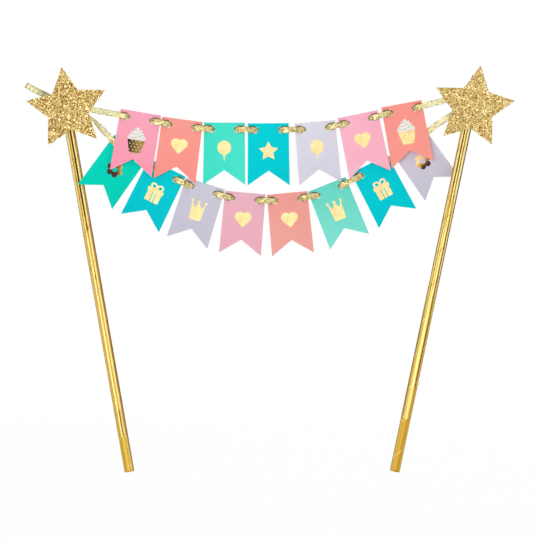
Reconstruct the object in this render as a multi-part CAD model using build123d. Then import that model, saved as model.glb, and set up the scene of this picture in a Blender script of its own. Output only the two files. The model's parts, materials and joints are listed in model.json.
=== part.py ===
from build123d import *
from collections import namedtuple
from math import cos, radians, sin, sqrt
import os

# Cake topper: two strands of swallowtail pennants, threaded on ribbons between two star-topped sticks.
# X runs to the right, Y away from the viewer and Z up, in millimetres. The origin lies under the
# middle of the topper, at the level of the stick feet. Tilts are in degrees, clockwise from the front.

# Sticks: a rolled paper core in a wrap of foil paper, pleated lengthwise above a smooth foot
STICK_DIAMETER = 5.0
LEFT_STICK_LENGTH = 195.0
LEFT_STICK_ABOVE_STAR = 10.6
RIGHT_STICK_ABOVE_STAR = 16.2
LEFT_STICK_TILT = -9.9
RIGHT_STICK_TILT = 11.8
FOIL_WRAP_THICKNESS = 0.25
FOIL_PLEAT_DEPTH = 0.08
FOIL_PLEAT_COUNT = 14
SMOOTH_FOOT_LENGTH = 30.0
GLUE_FILM = 0.02

# Stars: glitter card, in front of the sticks
STAR_RADIUS = 20.9
STAR_INNER_RADIUS = 10.6
STAR_TIP_COUNT = 5
STAR_THICKNESS = 0.6
LEFT_STAR_TILT = -8.2
RIGHT_STAR_TILT = 9.7
LEFT_STAR_SIDE_STEP = 1.05
RIGHT_STAR_SIDE_STEP = 1.0

# Glue beads between each stick and the ribbons under its star
GLUE_THICKNESS = 0.3
GLUE_WIDTH = 6.4
GLUE_LENGTH = 17.0
GLUE_DEPTH = 1.6

# Pennants: card that flares towards its foot, with two punched holes and a V cut from the foot
PENNANT_WIDTH = 20.4
PENNANT_FLARE = 0.7
PENNANT_HEIGHT = 31.0
NOTCH_DEPTH = 7.3
CARD_THICKNESS = 0.35
HOLE_DIAMETER = 3.4
HOLE_FROM_SIDE = 3.75
HOLE_FROM_TOP = 3.35

# Ribbons: gathered where they pass a hole, flat elsewhere
RIBBON_WIDTH = 3.0
RIBBON_THICKNESS = 0.25
RIBBON_HOLE_CLEARANCE = 1.0
RIBBON_WIDENING_LENGTH = 0.9
WEAVE_DEPTH = 1.5
MARGIN_CLEARANCE = 0.4

# Strands: tilts of the cards and of the ribbon between them, and gaps as shares of a card's width
UPPER_CARD_TILTS = (9.5, 7.4, 0.3, -0.4, -5.0, -11.6, -10.6)
UPPER_LINK_TILTS = (11.8, 4.8, 1.9, -0.8, -13.1, -16.6)
UPPER_GAP_SHARES = (0.035, 0.049, 0.073, 0.156, 0.084, 0.102)
LOWER_CARD_TILTS = (35.7, 26.3, 17.3, 5.0, -5.5, -21.8, -27.7, -35.3)
LOWER_LINK_TILTS = (28.9, 23.8, 15.1, 1.4, -10.7, -27.2, -37.1)
LOWER_GAP_SHARES = (0.05, 0.04, 0.04, 0.06, 0.052, 0.18, 0.145)
UPPER_LEAD_RUN = 9.0
UPPER_LEAD_DROP = 4.25
LOWER_LEAD_RUN = 3.65
LOWER_LEAD_DROP = 17.9
RIGHT_LEAD_RUN = 8.1
RIGHT_LEAD_RISE = 0.45

# Depths: the lower strand passes in front of the left stick and behind the right one
CARD_STICK_CLEARANCE = 0.35
UPPER_LEFT_STAND_OFF = 2.7
UPPER_RIGHT_STAND_OFF = 5.6

# Ribbon routes under the stars, from each star's centre, as shares of the star's radius
UPPER_TAIL_SHARES = ((-1.0, 0.563), (-0.56, 0.324), (-0.02, 0.112), (0.65, -0.04))
UPPER_END_SHARES = ((-0.75, 0.14), (-0.29, 0.26), (0.12, 0.34))
LOWER_START_SHARES = ((-0.22, -0.12), (0.1, -0.16), (0.52, -0.205), (0.66, -0.356))
LOWER_END_SHARES = ((-0.66, -0.27), (-0.22, -0.03), (0.17, 0.04))

# Foil marks and cupcake figures on the cards
FOIL_THICKNESS = 0.1
MARK_DROP = 14.0
MARK_WIDTH = 8.4
MARK_HEIGHT = 10.0
MARK_LINE = 0.5
CUPCAKE_WIDTH = 9.1
CUPCAKE_HEIGHT = 13.2
UPPER_MARKS = ("cupcake", "heart", "balloon", "star", "balloon", "heart", "cupcake")
LOWER_MARKS = ("flower", "gift", "crown", "heart", "heart", "crown", "gift", "flower")

# Sizes and depths that follow from the values above
stick_radius = STICK_DIAMETER / 2
hole_radius = HOLE_DIAMETER / 2
gathered_width = HOLE_DIAMETER - 2 * RIBBON_HOLE_CLEARANCE
weave_run = hole_radius + RIBBON_WIDENING_LENGTH
margin_run = HOLE_FROM_SIDE + MARGIN_CLEARANCE
glue_front = -(stick_radius + GLUE_THICKNESS)
tucked_depth = glue_front - RIBBON_THICKNESS / 2
star_back = glue_front - RIBBON_THICKNESS
card_off_stick = stick_radius + CARD_STICK_CLEARANCE + CARD_THICKNESS / 2
upper_first_depth = -card_off_stick - UPPER_LEFT_STAND_OFF
upper_last_depth = card_off_stick - UPPER_RIGHT_STAND_OFF

Card = namedtuple("Card", "left right tilt")
Stick = namedtuple("Stick", "plane rise length")


def heading(tilt):
    """Unit vector to the right along a line of this tilt."""
    return Vector(cos(radians(tilt)), 0, -sin(radians(tilt)))


def level_heading(start, end):
    """Unit vector from one place to another, seen from the front."""
    return Vector(end.X - start.X, 0, end.Z - start.Z).normalized()


def facing_front(origin, tilt):
    """Plane that faces the viewer, with its own X along the tilt."""
    return Plane(origin=origin, x_dir=heading(tilt), z_dir=(0, -1, 0))


def filled(points):
    """Face inside a closed outline of straight lines."""
    return make_face(Polyline(*points, close=True))


def star_points(tips, outer_radius, inner_radius, tilt=0):
    """Corners of a star round zero, from its first tip onward."""
    corners = []
    for corner in range(2 * tips):
        radius = inner_radius if corner % 2 else outer_radius
        turn = radians(tilt + corner * 180 / tips)
        corners.append((radius * sin(turn), radius * cos(turn)))
    return corners


def card_star_points(tilt):
    return star_points(STAR_TIP_COUNT, STAR_RADIUS, STAR_INNER_RADIUS, tilt)


def hang_strand(first_hole, card_tilts, link_tilts, gap_shares, last_depth):
    """Cards of one strand, chained from its first hole and spread evenly in depth."""
    hole_spacing = PENNANT_WIDTH - 2 * HOLE_FROM_SIDE
    depth_step = (last_depth - first_hole.Y) / (len(card_tilts) - 1)
    cards = []
    left = first_hole
    for place, tilt in enumerate(card_tilts):
        right = left + heading(tilt) * hole_spacing
        cards.append(Card(left, right, tilt))
        if place < len(link_tilts):
            link_length = 2 * HOLE_FROM_SIDE + gap_shares[place] * PENNANT_WIDTH
            left = right + heading(link_tilts[place]) * link_length + Vector(0, depth_step, 0)
    return cards


# Marks, each drawn round zero

def heart_mark():
    side = MARK_WIDTH / (1 + sqrt(1 / 2))
    lobe_offset = side * sqrt(1 / 2) / 2
    heart = Rectangle(side, side, rotation=45)
    for place in (-lobe_offset, lobe_offset):
        heart += Pos(place, lobe_offset) * Circle(side / 2)
    return heart


def balloon_mark():
    bag_width_share, bag_height_share, knot_share = 0.8, 0.7, 0.2
    bag_height = bag_height_share * MARK_HEIGHT
    bag_bottom = MARK_HEIGHT / 2 - bag_height
    half_knot = knot_share * MARK_WIDTH / 2
    string_length = bag_bottom + MARK_HEIGHT / 2
    balloon = Pos(0, bag_bottom + bag_height / 2) * Ellipse(bag_width_share * MARK_WIDTH / 2, bag_height / 2)
    knot = filled([(0, half_knot), (half_knot, -half_knot), (-half_knot, -half_knot)])
    balloon += Pos(0, bag_bottom) * knot
    balloon += Pos(0, bag_bottom - string_length / 2) * Rectangle(MARK_LINE, string_length)
    return balloon


def star_mark():
    tip_radius = MARK_HEIGHT / 2
    return filled(star_points(STAR_TIP_COUNT, tip_radius, tip_radius * STAR_INNER_RADIUS / STAR_RADIUS))


def flower_mark():
    petal_count = 6
    petal_radius = MARK_WIDTH / petal_count
    ring_radius = MARK_WIDTH / 2 - petal_radius
    flower = Circle(ring_radius)
    for petal in range(petal_count):
        turn = radians(petal * 360 / petal_count)
        flower += Pos(ring_radius * cos(turn), ring_radius * sin(turn)) * Circle(petal_radius)
    return flower - Circle(petal_radius)


def gift_mark():
    lid_share, box_share, box_width_share, band_share = 0.18, 0.5, 0.86, 0.11
    loop_lean, loop_length_share, loop_height_share, loop_hole_share = 25, 0.6, 0.5, 0.5
    lid_height = lid_share * MARK_HEIGHT
    box_height = box_share * MARK_HEIGHT
    bow_height = MARK_HEIGHT - box_height - lid_height
    box_bottom = -MARK_HEIGHT / 2
    box_middle = box_bottom + box_height / 2
    lid_top = box_bottom + box_height + lid_height
    loop_length = loop_length_share * bow_height
    loop_height = loop_height_share * bow_height
    loop = Ellipse(loop_length, loop_height)
    loop -= Ellipse(loop_hole_share * loop_length, loop_hole_share * loop_height)
    gift = Pos(0, box_middle) * Rectangle(box_width_share * MARK_WIDTH, box_height)
    for side in (-1, 1):
        gift -= Pos(side * band_share * MARK_WIDTH, box_middle) * Rectangle(MARK_LINE, box_height)
    gift += Pos(0, lid_top - lid_height / 2) * Rectangle(MARK_WIDTH, lid_height)
    for side in (-1, 1):
        gift += Pos(side * bow_height / 2, lid_top + bow_height / 3) * Rot(Z=side * loop_lean) * loop
    return gift


def crown_mark():
    valley_share, ball_share = 0.1, 0.08
    half_width = MARK_WIDTH / 2
    half_height = MARK_HEIGHT / 2
    ball_radius = ball_share * MARK_WIDTH
    tip_place = half_width - ball_radius
    tip_height = half_height - ball_radius
    foot_place = tip_place - ball_radius
    valley_height = valley_share * MARK_HEIGHT
    outline = [
        (-foot_place, -half_height),
        (foot_place, -half_height),
        (tip_place, tip_height),
        (tip_place / 2, valley_height),
        (0, tip_height),
        (-tip_place / 2, valley_height),
        (-tip_place, tip_height),
    ]
    crown = filled(outline)
    for tip in (-tip_place, 0, tip_place):
        crown += Pos(tip, tip_height) * Circle(ball_radius)
    return crown


def cupcake_wrapper():
    height_share, top_share, foot_share, sag_share = 0.49, 0.96, 0.64, 0.07
    sag = sag_share * CUPCAKE_WIDTH
    foot = sag - CUPCAKE_HEIGHT / 2
    top = (height_share - 1 / 2) * CUPCAKE_HEIGHT
    half_top = top_share * CUPCAKE_WIDTH / 2
    half_foot = foot_share * CUPCAKE_WIDTH / 2
    wrapper = filled([(-half_foot, foot), (half_foot, foot), (half_top, top), (-half_top, top)])
    return wrapper + Pos(0, foot) * Ellipse(half_foot, sag)


def cupcake_icing():
    layer_width_shares, layer_pitch_share, tip_width_share, tip_height_share = (1.0, 0.78, 0.5), 0.72, 0.36, 1.06
    top_layer_share = 1 / 2 + (len(layer_width_shares) - 1) * layer_pitch_share
    layer_height = CUPCAKE_HEIGHT / 2 / (top_layer_share + tip_height_share)
    half_tip = tip_width_share * CUPCAKE_WIDTH / 2
    tip_foot = top_layer_share * layer_height
    icing = filled([(-half_tip, tip_foot), (half_tip, tip_foot), (0, CUPCAKE_HEIGHT / 2)])
    for layer, width_share in enumerate(layer_width_shares):
        middle = layer_height / 2 + layer * layer_pitch_share * layer_height
        icing += Pos(0, middle) * SlotOverall(width_share * CUPCAKE_WIDTH, layer_height)
    return icing


MARKS = {
    "heart": {"foil_heart": heart_mark},
    "balloon": {"foil_balloon": balloon_mark},
    "star": {"foil_star": star_mark},
    "flower": {"foil_flower": flower_mark},
    "gift": {"foil_gift": gift_mark},
    "crown": {"foil_crown": crown_mark},
    "cupcake": {"cupcake_wrapper": cupcake_wrapper, "cupcake_icing": cupcake_icing},
}


# Pennants and ribbons

def pennant():
    """One card in its own plane, with zero midway between its holes."""
    half_width = PENNANT_WIDTH / 2
    half_foot = half_width + PENNANT_FLARE / 2
    foot = HOLE_FROM_TOP - PENNANT_HEIGHT
    outline = [
        (-half_width, HOLE_FROM_TOP),
        (half_width, HOLE_FROM_TOP),
        (half_foot, foot),
        (0, foot + NOTCH_DEPTH),
        (-half_foot, foot),
    ]
    face = filled(outline)
    for side in (-1, 1):
        face -= Pos(side * (half_width - HOLE_FROM_SIDE), 0) * Circle(hole_radius)
    return extrude(face, amount=CARD_THICKNESS / 2, both=True)


def hole_stations(hole, incoming, outgoing, side):
    """Four stations of a ribbon that comes from one side of a card and leaves on the other."""
    narrow_side = side * (hole_radius / weave_run)
    return [
        (hole - incoming * weave_run + side, RIBBON_WIDTH),
        (hole - incoming * hole_radius + narrow_side, gathered_width),
        (hole + outgoing * hole_radius - narrow_side, gathered_width),
        (hole + outgoing * weave_run - side, RIBBON_WIDTH),
    ]


def woven_stations(cards, before_first, after_last):
    """Places and widths along a ribbon: in front of the gaps, through each hole, behind each card."""
    front = Vector(0, -WEAVE_DEPTH, 0)
    joins = [before_first[-1]]
    joins += [place for card in cards for place in (card.left, card.right)]
    joins.append(after_last[0])
    links = [level_heading(joins[index], joins[index + 1]) for index in range(0, len(joins), 2)]
    stations = [(place, RIBBON_WIDTH) for place in before_first]
    stations.append((cards[0].left - links[0] * margin_run + front, RIBBON_WIDTH))
    for card, incoming, outgoing in zip(cards, links, links[1:]):
        stations += hole_stations(card.left, incoming, heading(card.tilt), front)
        stations += hole_stations(card.right, heading(card.tilt), outgoing, front * -1)
    stations.append((cards[-1].right + links[-1] * margin_run + front, RIBBON_WIDTH))
    stations += [(place, RIBBON_WIDTH) for place in after_last]
    return stations


def ribbon(stations):
    """One unbroken ribbon through its stations, flat to the viewer."""
    through = Vector(0, RIBBON_THICKNESS / 2, 0)
    sections = []
    for index, (place, width) in enumerate(stations):
        before = stations[max(index - 1, 0)][0]
        after = stations[min(index + 1, len(stations) - 1)][0]
        along = level_heading(before, after)
        across = Vector(-along.Z, 0, along.X) * (width / 2)
        top, bottom = place + across, place - across
        sections.append(Wire.make_polygon([top + through, top - through, bottom - through, bottom + through]))
    return Solid.make_loft(sections, ruled=True)


def tucked_route(star_centre, shares):
    """Places of a ribbon in the layer between a stick's glue and its star."""
    level = Vector(star_centre.X, tucked_depth, star_centre.Z)
    return [level + Vector(across * STAR_RADIUS, 0, up * STAR_RADIUS) for across, up in shares]


# Sticks, stars and glue

def stick_direction(tilt):
    """Unit vector up a stick of this tilt."""
    return Vector(sin(radians(tilt)), 0, cos(radians(tilt)))


def foot_height(tilt):
    """Height of the middle of a tilted stick's foot, whose rim stands on zero."""
    return stick_radius * abs(stick_direction(tilt).X)


def stick_under(star_centre, side_step, tilt, reach_above_star):
    """A stick that stands on zero and passes behind its star."""
    upward = stick_direction(tilt)
    rise = (star_centre.Z - foot_height(tilt)) / upward.Z
    behind_star = Vector(star_centre.X - side_step, 0, star_centre.Z)
    plane = Plane(origin=behind_star - upward * rise, x_dir=heading(tilt), z_dir=upward)
    return Stick(plane, rise, rise + reach_above_star)


def stick_bar(stick, radius):
    return stick.plane * Cylinder(radius, stick.length, align=(Align.CENTER, Align.CENTER, Align.MIN))


def stick_core(stick):
    return stick_bar(stick, stick_radius - FOIL_WRAP_THICKNESS - GLUE_FILM)


def stick_foil_wrap(stick):
    pleats = filled(star_points(FOIL_PLEAT_COUNT, stick_radius, stick_radius - FOIL_PLEAT_DEPTH))
    wrap = extrude(Circle(stick_radius), amount=SMOOTH_FOOT_LENGTH)
    wrap += Pos(0, 0, SMOOTH_FOOT_LENGTH) * extrude(pleats, amount=stick.length - SMOOTH_FOOT_LENGTH)
    return stick.plane * wrap - stick_bar(stick, stick_radius - FOIL_WRAP_THICKNESS)


def star_glue(stick):
    bead = Box(GLUE_WIDTH, GLUE_DEPTH, GLUE_LENGTH, align=(Align.CENTER, Align.MIN, Align.CENTER))
    return stick.plane * Pos(0, glue_front, stick.rise) * bead - stick_bar(stick, stick_radius + GLUE_FILM)


def glitter_star(star_centre, tilt):
    plane = facing_front(Vector(star_centre.X, star_back, star_centre.Z), 0)
    return plane * extrude(filled(card_star_points(tilt)), amount=STAR_THICKNESS)


# Layout, first from the left star, then moved so that the origin is under the middle

left_star_rise = LEFT_STICK_LENGTH - LEFT_STICK_ABOVE_STAR
left_star_height = foot_height(LEFT_STICK_TILT) + left_star_rise * stick_direction(LEFT_STICK_TILT).Z
left_star = Vector(0, 0, left_star_height)
upper_first_hole = left_star + Vector(STAR_RADIUS + UPPER_LEAD_RUN, upper_first_depth, -UPPER_LEAD_DROP)
lower_first_hole = left_star + Vector(STAR_RADIUS + LOWER_LEAD_RUN, -card_off_stick, -LOWER_LEAD_DROP)
upper_cards = hang_strand(
    upper_first_hole, UPPER_CARD_TILTS, UPPER_LINK_TILTS, UPPER_GAP_SHARES, upper_last_depth
)
lower_cards = hang_strand(
    lower_first_hole, LOWER_CARD_TILTS, LOWER_LINK_TILTS, LOWER_GAP_SHARES, card_off_stick
)
upper_end = upper_cards[-1].right
right_star = Vector(upper_end.X + STAR_RADIUS + RIGHT_LEAD_RUN, 0, upper_end.Z + RIGHT_LEAD_RISE)

left_stick = stick_under(left_star, LEFT_STAR_SIDE_STEP, LEFT_STICK_TILT, LEFT_STICK_ABOVE_STAR)
right_stick = stick_under(right_star, RIGHT_STAR_SIDE_STEP, RIGHT_STICK_TILT, RIGHT_STICK_ABOVE_STAR)

upper_route = woven_stations(
    upper_cards,
    tucked_route(left_star, UPPER_TAIL_SHARES),
    tucked_route(right_star, UPPER_END_SHARES),
)
lower_route = woven_stations(
    lower_cards,
    tucked_route(left_star, LOWER_START_SHARES),
    tucked_route(right_star, LOWER_END_SHARES),
)

left_reach = left_star.X + min(x for x, up in card_star_points(LEFT_STAR_TILT))
right_reach = right_star.X + max(x for x, up in card_star_points(RIGHT_STAR_TILT))
front_reach = upper_first_depth - CARD_THICKNESS / 2 - FOIL_THICKNESS
back_reach = card_off_stick + CARD_THICKNESS / 2
centring = Pos(-(left_reach + right_reach) / 2, -(front_reach + back_reach) / 2, 0)

pieces = {
    "left_stick_core": stick_core(left_stick),
    "right_stick_core": stick_core(right_stick),
    "left_stick_foil_wrap": stick_foil_wrap(left_stick),
    "right_stick_foil_wrap": stick_foil_wrap(right_stick),
    "left_star": glitter_star(left_star, LEFT_STAR_TILT),
    "right_star": glitter_star(right_star, RIGHT_STAR_TILT),
    "left_star_glue": star_glue(left_stick),
    "right_star_glue": star_glue(right_stick),
    "upper_ribbon": ribbon(upper_route),
    "lower_ribbon": ribbon(lower_route),
}

card_solid = pennant()
mark_place = Pos(0, HOLE_FROM_TOP - MARK_DROP, CARD_THICKNESS / 2)
for strand, cards, marks in (("upper", upper_cards, UPPER_MARKS), ("lower", lower_cards, LOWER_MARKS)):
    for number, (card, mark) in enumerate(zip(cards, marks), start=1):
        card_plane = facing_front((card.left + card.right) / 2, card.tilt)
        pieces[f"{strand}_pennant_{number}"] = card_plane * card_solid
        for mark_name, draw_mark in MARKS[mark].items():
            mark_solid = extrude(draw_mark(), amount=FOIL_THICKNESS)
            pieces[f"{strand}_{mark_name}_{number}"] = card_plane * mark_place * mark_solid

os.makedirs("parts", exist_ok=True)
for name, piece in pieces.items():
    export_step(centring * piece, f"parts/{name}.step")
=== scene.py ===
import json
import math
import random

import bmesh
import bpy
from bpy.props import FloatProperty, FloatVectorProperty, IntProperty, PointerProperty
from mathutils import Color, Matrix, Vector, noise


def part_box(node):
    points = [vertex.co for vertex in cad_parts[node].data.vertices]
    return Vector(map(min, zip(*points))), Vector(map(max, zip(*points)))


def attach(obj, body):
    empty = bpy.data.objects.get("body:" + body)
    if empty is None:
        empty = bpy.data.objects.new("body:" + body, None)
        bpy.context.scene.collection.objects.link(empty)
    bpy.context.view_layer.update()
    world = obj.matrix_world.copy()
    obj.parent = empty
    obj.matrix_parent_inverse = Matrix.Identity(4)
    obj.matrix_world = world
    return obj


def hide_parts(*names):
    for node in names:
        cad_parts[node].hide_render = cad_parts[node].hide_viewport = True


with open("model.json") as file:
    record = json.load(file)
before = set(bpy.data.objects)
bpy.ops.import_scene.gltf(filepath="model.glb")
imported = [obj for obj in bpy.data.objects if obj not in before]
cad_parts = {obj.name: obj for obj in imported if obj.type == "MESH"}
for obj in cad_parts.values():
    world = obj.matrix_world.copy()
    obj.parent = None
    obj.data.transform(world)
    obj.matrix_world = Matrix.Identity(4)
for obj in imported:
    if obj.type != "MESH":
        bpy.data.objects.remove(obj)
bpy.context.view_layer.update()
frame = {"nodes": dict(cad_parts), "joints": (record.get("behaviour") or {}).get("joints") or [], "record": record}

bl_info = {
    "name": "Pennant Cake Topper",
    "version": (1, 0, 0),
    "blender": (4, 5, 0),
    "location": "View3D > Sidebar > Topper",
    "description": "Dresses the cake topper with ribbons, glitter stars, foil sticks and printed cards",
    "category": "Object",
}

# Sizes of the solids, in metres
HOLE_SPACING = 0.0129
STAR_RADIUS = 0.0209
STAR_INNER_RADIUS = 0.0106
STAR_TIP_COUNT = 5
RIBBON_LAYER = 0.00025
FOOT_MIDDLE = 0.015
CARD_HALF_WIDTH = 0.0105
CARD_HANG = 0.02765

# Stage, in metres
LAMP_AIM = Vector((0, 0, 0.12))
FLOOR_HALF_WIDTH = 3
FLOOR_DROP = 0.0003

# A ribbon at a card, in metres: where it dives, from a hole's middle towards the card's middle, its run before and
# after the dive, and how far outside the strand's outer holes it comes forward
DIVE_INWARD = 0.00102
DIVE_RUN = 0.0009
PAST_CARD = 0.0048

# The ribbon's greatest half width at distances past a hole's middle, which leaves the cards room to swing
RIBBON_NECK = (
    (-0.0005, 0.00180), (-0.0002, 0.00162), (0.00016, 0.00144), (0.0005, 0.00130), (0.0010, 0.00124),
    (0.00124, 0.00090), (0.00137, 0.00066), (0.00152, 0.00074), (0.0017, 0.0011), (0.00195, 0.0015), (0.0023, 0.0018),
)

# Spread and pinch of a ribbon by distance from a hole, loops along its edges and hollow of its face, in metres
SWELL_REACH = 0.0036
PINCH_PLACE = 0.0046
PINCH_REACH = 0.001
PICOT_STEP = 0.00045
CUP_DEPTH = 0.00008
CUP_LEVEL = 0.35

# Pale part of a ribbon, in metres: its end past a hole's middle, its distance from the edges of the neck, and where
# it starts to widen away from a hole, and by how much, in front of a card and behind it
# Outside this pale part the ribbon's edges are painted dark, partly as shade of the holes and the cards
CORE_END = 0.0017
CORE_INSET = 0.0003
CORE_STEP = 0.0012
CORE_IN_FRONT = (0.0034, 0.0005)
CORE_BEHIND = (0.0020, 0.002)

# The lower ribbon stands on edge and further back where it comes out from under the left star: place and length of
# the rise and of the fall along the ribbon, in metres
EDGEWISE_TURN = math.radians(66)
EDGEWISE_RISE = (0.007, 0.006)
EDGEWISE_FALL = (0.0285, 0.012)
EDGEWISE_ROOM = 0.0015

# Painted shadow on each ribbon near the stars: strength, place along it and reach, in metres. A place below zero
# counts from the far end
UPPER_STAR_SHADOWS = ((0.70, 0.011, 0.005), (0.4, 0.0335, 0.002), (0.3, -0.0155, 0.003))
LOWER_STAR_SHADOWS = ((0.12, 0.0150, 0.0025), (0.8, -0.0155, 0.0032))
# Painted shadow along the upper ribbon's tail, beside the left star
TAIL_LENGTH = 0.02
TAIL_SHADOW = 0.36

# Glitter flakes: sides, jitter and height of a row in pitches, shares of the full size, and least distance inside the
# outline and lift off the card, in metres. A lower dullness makes more flakes bright: the right star's are a painted
# highlight
FLAKE_SIDES = 6
FLAKE_JITTER = 0.35
FLAKE_ROW = 0.9
FLAKE_SIZES = (0.75, 1.15)
FLAKE_MARGINS = (-0.00005, 0.00025)
FLAKE_LIFTS = (0.00008, 0.00022)
STAR_DULLNESS = {"left": 1.0, "right": 0.72}

# Distances behind a star's front between which the glitter bed gives way to plain card, in metres
STAR_BACK = (0.00045, 0.00055)

# Foil on the sticks: noise cells round and along a stick, width of a crease in the noise, and the crumples' share of
# its depth. In metres: rise of the seam in a turn, smooth foot, growth of the creases above it, rounding of the ends
CREASE_CELLS = (2.4, 16)
CRUMPLE_CELLS = (3, 240)
CREASE_WIDTH = 0.14
CRUMPLE_SHARE = 0.12
FOIL_TURN = 0.0173
SMOOTH_FOOT = 0.014
CREASE_GROWTH = 0.03
END_DEPTH = 0.00006
END_LENGTH = 0.0008

# Heights between which the foil's painted reflection streaks break into dashes and its seam turns dark, in metres
BROKEN_FOIL = (0.075, 0.100)

# Cuts that let a card warp: distances in metres and steps from its hinge
NET_ACROSS = 0.0018
NET_DOWN = 0.002
STEPS_ACROSS = range(-5, 6)
STEPS_DOWN = range(-2, 14)

# Swirls of the icing: rise to the right, sag, wobble and height of a tier. Dots of the wrappers: row and column.
# Lengths are in metres
SWIRL_RISE = 0.30
SWIRL_SAG = 70
SWIRL_WOBBLE = 0.0009
SWIRL_TIER = 0.0017
DOT_ROW = 0.0015
DOT_COLUMN = 0.00185

# Ribbon routes under the stars, from each star's centre, as shares of the star's radius
UPPER_TAIL_SHARES = ((-1.0, 0.563), (-0.56, 0.324), (-0.02, 0.112), (0.65, -0.04))
UPPER_END_SHARES = ((-0.75, 0.14), (-0.29, 0.26), (0.12, 0.34))
LOWER_START_SHARES = ((-0.22, -0.12), (0.1, -0.14), (0.50, -0.165), (0.66, -0.32))
LOWER_END_SHARES = ((-0.66, -0.27), (-0.22, -0.03), (0.17, 0.04))

# Tone of the foil round each stick, by degrees to the right of the front: painted reflection and shade, 0 a dark
# crease or dark reflection and 100 a bright reflection on a ridge, darker at the sides.
# Each row, from the foot up, begins to show at its first height and is full at its second, in metres
HIDDEN_LEFT = {-178: 45, -160: 80, -148: 30, -132: 60, -116: 85, -102: 40}
HIDDEN_RIGHT = {102: 45, 116: 85, 132: 35, 148: 60, 162: 90, 178: 45}
LEFT_FOIL = (
    (0.0, 0.0, {
        -90: 26, -66: 46, -56: 48, -46: 44, -14: 44, -4: 54, 4: 54, 10: 46, 26: 46, 34: 68, 44: 68, 52: 34, 90: 18,
    }),
    (0.017, 0.0195, {
        -90: 24, -68: 34, -56: 45, -24: 47, -16: 82, -5: 84, 2: 20, 13: 16, 20: 80, 32: 80, 38: 42, 58: 30, 90: 16,
    }),
    (0.03, 0.033, {
        -90: 22, -68: 36, -56: 47, -24: 50, -16: 88, -5: 88, 1: 42, 13: 36, 20: 86, 33: 86, 39: 40, 50: 26, 66: 20,
        90: 12,
    }),
    (0.06, 0.085, {
        -90: 20, -64: 34, -54: 62, -38: 56, -30: 48, -22: 52, -15: 88, -5: 88, 1: 38, 12: 30, 19: 86, 32: 90,
        38: 46, 48: 32, 64: 20, 90: 12,
    }),
    (0.112, 0.14, {
        -90: 18, -62: 34, -56: 80, -34: 84, -27: 36, -16: 32, -11: 62, -4: 60, 0: 5, 16: 0, 21: 84, 34: 92, 39: 42,
        58: 36, 66: 22, 90: 12,
    }),
)
RIGHT_FOIL = (
    (0.0, 0.0, {
        -90: 28, -64: 42, -52: 57, -40: 57, -28: 44, -4: 37, 30: 37, 42: 46, 62: 46, 90: 26,
    }),
    (0.0262, 0.0282, {
        -90: 14, -64: 24, -52: 44, -38: 62, -24: 66, -12: 68, 2: 76, 12: 70, 18: 40, 60: 40, 90: 24,
    }),
    (0.0425, 0.044, {
        -90: 12, -64: 20, -52: 46, -38: 62, -24: 58, -12: 76, 4: 78, 14: 66, 20: 13, 31: 11, 37: 46, 52: 48, 66: 34,
        90: 18,
    }),
    (0.075, 0.1, {
        -90: 12, -64: 26, -55: 76, -44: 78, -37: 40, -29: 40, -23: 84, -18: 84, -13: 34, -6: 34, -1: 92, 9: 90,
        14: 52, 18: 16, 27: 12, 33: 76, 48: 76, 55: 18, 90: 8,
    }),
    (0.122, 0.15, {
        -90: 26, -68: 34, -57: 38, -47: 90, -30: 88, -24: 10, -12: 6, -6: 76, 3: 78, 8: 14, 16: 16, 22: 96, 42: 96,
        48: 22, 58: 4, 90: 10,
    }),
)

# Each stick's foil, the height in metres at which its seam starts and the seed of its creases
STICKS = (("left", LEFT_FOIL, 0.0018, 3.7), ("right", RIGHT_FOIL, 0.0099, 9.2))

# Dyes that have faded on the lower strand
FADED_DYES = ("pink", "coral", "mint", "lavender")

# Marks with a painted dark reflection on their foil: share for each metre to the right and up, and the share at the
# middle
DARK_REFLECTIONS = {"lower_flag_1": (-130, -100, 0.75), "lower_flag_8": (40, -160, 0.15)}

# How much paler or deeper each card's colour is at its head, at its foot and towards its right: -1 deep, 1 pale
UPPER_GRADIENTS = (
    (-0.2, -0.8, 0.0), (0.35, -0.1, 0.0), (0.0, 0.0, 0.25), (0.55, 0.0, -0.1),
    (0.6, -0.2, -0.15), (0.45, 0.55, -0.2), (0.1, 0.3, 0.0),
)
LOWER_GRADIENTS = (
    (0.7, 0.0, -0.15), (0.35, -0.5, 0.0), (0.3, -0.1, 0.05), (0.4, 0.1, 0.0), (-0.1, 0.3, -0.1), (-0.3, 0.7, -0.15),
    (0.25, -0.2, 0.0), (0.8, -0.2, 0.0),
)

# How each card has warped: bow across, curl of the foot, twist, each in millimetres towards the back
UPPER_WARPS = (
    (0.10, -0.25, 0.15), (-0.12, -0.20, -0.10), (0.15, -0.35, 0.10), (-0.10, 0.20, 0.12),
    (0.12, -0.30, -0.15), (-0.15, -0.25, 0.10), (0.10, -0.30, -0.12),
)
LOWER_WARPS = (
    (0.05, -0.20, 0.10), (-0.12, 0.25, -0.15), (0.12, -0.25, 0.12), (-0.14, 0.20, 0.10),
    (0.14, -0.25, -0.12), (-0.10, -0.30, 0.15), (0.15, 0.20, -0.20), (0.10, 0.25, 0.30),
)


def clamped(value):
    return min(max(value, 0.0), 1.0)


def bell(distance, reach):
    """1 at no distance, falling off smoothly over the reach."""
    return math.exp(-((distance / reach) ** 2))


def lean_of(upward):
    """Turn of a direction from upright, in the front view."""
    return math.atan2(upward.x, upward.z)


def srgb(colour):
    """Scene-linear form of a colour as it looks on a screen."""
    return tuple(Color(colour[:3]).from_srgb_to_scene_linear())


def colour_property(label, words, default):
    return FloatVectorProperty(
        name=label, description=f"Colour of the {words}", default=default, subtype="COLOR_GAMMA", size=3, min=0, max=1
    )


def length_property(label, words, default):
    return FloatProperty(name=label, description=words, default=default, unit="LENGTH", precision=5)


def share_property(label, words, default):
    return FloatProperty(name=label, description=words, default=default, subtype="FACTOR", min=0, max=1)


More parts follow.
